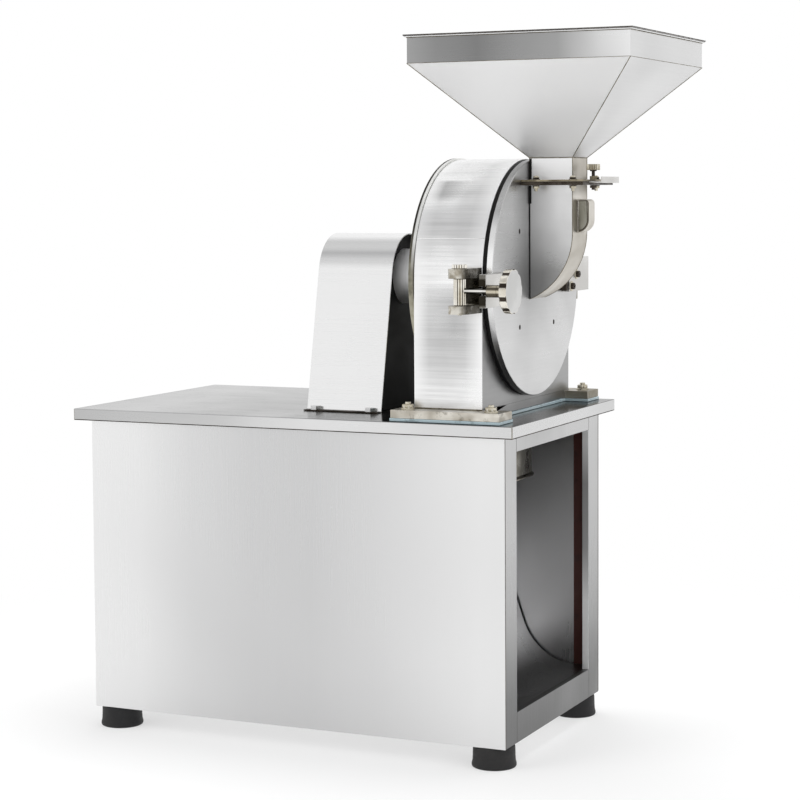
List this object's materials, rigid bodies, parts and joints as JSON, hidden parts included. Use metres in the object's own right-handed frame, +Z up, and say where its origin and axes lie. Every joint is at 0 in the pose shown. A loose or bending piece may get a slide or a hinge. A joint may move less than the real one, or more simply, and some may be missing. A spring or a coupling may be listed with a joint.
{
  "type": "powder grinding machine",
  "caption": "Toothed-disc powder mill with a square hopper and slide gate over a hinged round door, belt driven by a motor inside its sheet-steel cabinet.",
  "frame": {"origin": "on the floor, in the middle of the machine's overall length and width", "axes": "+X along the spindle towards the hinged door and the open end of the cabinet, -Y towards the long front panel, +Z up"},
  "size_m": [1.0522, 0.557, 1.25],
  "materials": {
    "stainless_sheet": "satin sheet",
    "table_steel": "smooth sheet",
    "brushed_stainless": "brushed along the length",
    "polished_steel": "polished",
    "tool_steel": "ground",
    "cast_iron": "machined",
    "primer_red": "matt primer",
    "black_paint": "matt paint",
    "motor_paint": "satin paint",
    "black_rubber": "moulded",
    "pad_rubber": "smooth sheet",
    "zinc_plate": "zinc plated"
  },
  "bodies": {
    "machine": {"table_top": "table_steel", "angle_frame": "primer_red", "front_panel": "stainless_sheet", "rear_panel": "stainless_sheet", "motor_end_panel": "stainless_sheet", "end_surround": "stainless_sheet", "bay_liner": "stainless_sheet", "cabinet_floor": "stainless_sheet", "foot_front_left": "black_rubber", "foot_front_right": "black_rubber", "foot_rear_left": "black_rubber", "foot_rear_right": "black_rubber", "discharge_spout": "brushed_stainless", "motor_body": "motor_paint", "motor_fan_cover": "motor_paint", "motor_terminal_box": "motor_paint", "motor_base": "primer_red", "drive_belt": "black_rubber", "bearing_housing": "brushed_stainless", "bearing_cap": "cast_iron", "rear_bearing": "polished_steel", "front_bearing": "polished_steel", "chamber_shell": "brushed_stainless", "chamber_back_plate": "tool_steel", "chamber_base": "brushed_stainless", "base_pad": "pad_rubber", "screen_ring": "tool_steel", "hinge_bracket": "brushed_stainless", "hinge_pin": "polished_steel", "latch_bracket": "polished_steel", "latch_pin": "polished_steel", "latch_barrel": "polished_steel", "belt_guard": "stainless_sheet", "guard_back_plate": "black_paint"},
    "spindle": {"spindle_shaft": "tool_steel", "spindle_pulley": "cast_iron", "pulley_nut": "tool_steel", "rotor_nut": "tool_steel", "rotor_disc": "tool_steel"},
    "motor_rotor": {"motor_shaft": "tool_steel", "motor_pulley": "cast_iron", "motor_fan": "black_paint"},
    "door": {"door_disc": "brushed_stainless", "door_gasket": "black_rubber", "stator_disc": "tool_steel", "feed_chute": "brushed_stainless", "chute_flange": "stainless_sheet", "hopper_flange": "stainless_sheet", "hopper": "stainless_sheet", "flange_bolt_1": "zinc_plate", "flange_bolt_2": "zinc_plate", "flange_bolt_3": "zinc_plate", "flange_bolt_4": "zinc_plate", "magnet_trap": "brushed_stainless", "hinge_arm": "brushed_stainless", "latch_plate": "brushed_stainless", "latch_rod": "polished_steel"},
    "gate": {"slide_gate": "stainless_sheet"},
    "clamp_screw": {"gate_screw": "polished_steel"},
    "knob": {"clamp_knob": "polished_steel"}
  },
  "joints": [
    {"name": "door_swing", "type": "hinge", "parent": "machine", "child": "door", "pos_m": [0.25635, 0.257, 0.829], "axis": [0, 0, 1], "range_deg": [0, 110]},
    {"name": "knob_turn", "type": "hinge", "parent": "door", "child": "knob", "pos_m": [0.30435, -0.241, 0.8165], "axis": [1, 0, 0], "continuous": true},
    {"name": "gate_slide", "type": "slide", "parent": "door", "child": "gate", "axis": [1, 0, 0], "range_m": [0, 0.076]},
    {"name": "gate_screw_turn", "type": "hinge", "parent": "door", "child": "clamp_screw", "pos_m": [0.38515, 0.019, 1.01], "axis": [0, 0, 1], "continuous": true},
    {"name": "spindle_spin", "type": "hinge", "parent": "machine", "child": "spindle", "pos_m": [-0.04065, 0.019, 0.829], "axis": [1, 0, 0], "continuous": true},
    {"name": "motor_spin", "type": "hinge", "parent": "machine", "child": "motor_rotor", "pos_m": [-0.04065, 0.019, 0.215], "axis": [1, 0, 0], "continuous": true}
  ],
  "couplings": [
    {"joint": "motor_spin", "follows": "spindle_spin", "ratio": 0.65263}
  ]
}
